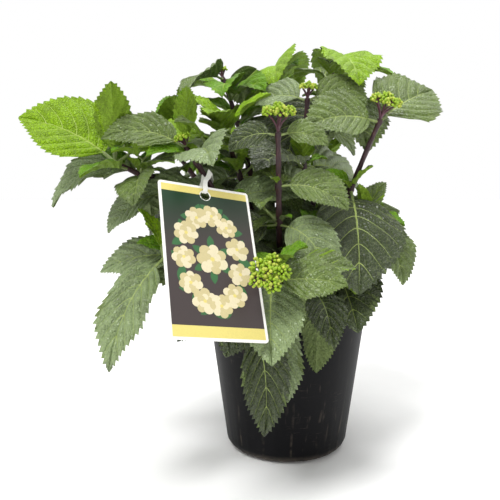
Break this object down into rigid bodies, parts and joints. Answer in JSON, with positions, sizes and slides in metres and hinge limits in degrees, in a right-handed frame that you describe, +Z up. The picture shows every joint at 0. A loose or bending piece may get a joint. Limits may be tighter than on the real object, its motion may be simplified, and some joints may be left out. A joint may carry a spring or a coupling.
{
  "type": "potted shrub",
  "caption": "Bushy hydrangea with serrated opposite leaves and green flower buds, standing in a black nursery pot, with a plant label hung on a strap.",
  "frame": {"origin": "the middle of the pot's flat underside, which the plant stands on", "axes": "+Z up along the pot's own axis, -Y the front, where the label hangs, +X to the right seen from the front"},
  "size_m": [0.4699, 0.5316, 0.5116],
  "materials": {
    "pot_plastic": "satin black, moulded",
    "potting_mix": "moist bark and peat crumbs",
    "bark": "smooth dark purple-brown bark",
    "leaves": "dark green leaf, soft sheen",
    "young_leaves": "bright young leaf, soft sheen",
    "label_card": "printed plastic card",
    "label_strap": "white plastic strip"
  },
  "bodies": {
    "root": {"pot": "pot_plastic", "potting_mix": "potting_mix", "cane_right_tall": "bark", "leaves_right_tall": "leaves", "cane_front_centre": "bark", "leaves_front_centre": "leaves", "cane_centre_tall": "bark", "leaves_centre_tall": "leaves", "cane_low_front": "bark", "leaves_low_front": "leaves", "cane_left_mid": "bark", "leaves_left_mid": "leaves", "cane_far_left": "bark", "leaves_far_left": "young_leaves", "cane_low_left": "bark", "leaves_low_left": "leaves", "cane_low_front_left": "bark", "leaves_low_front_left": "leaves", "cane_low_front_right": "bark", "leaves_low_front_right": "leaves", "cane_low_right": "bark", "leaves_low_right": "leaves", "cane_mid_front": "bark", "leaves_mid_front": "leaves", "cane_young_centre": "bark", "leaves_young_centre": "young_leaves", "cane_left_back": "bark", "leaves_left_back": "leaves", "cane_left_bud": "bark", "leaves_left_bud": "leaves", "cane_back_left": "bark", "leaves_back_left": "leaves", "cane_back_right": "bark", "leaves_back_right": "young_leaves", "cane_back_centre": "bark", "leaves_back_centre": "leaves", "cane_right_back": "bark", "leaves_right_back": "leaves", "cane_low_back": "bark", "leaves_low_back": "leaves", "cane_low_back_left": "bark", "leaves_low_back_left": "leaves", "label_card": "label_card", "label_strap": "label_strap"}
  },
  "joints": []
}
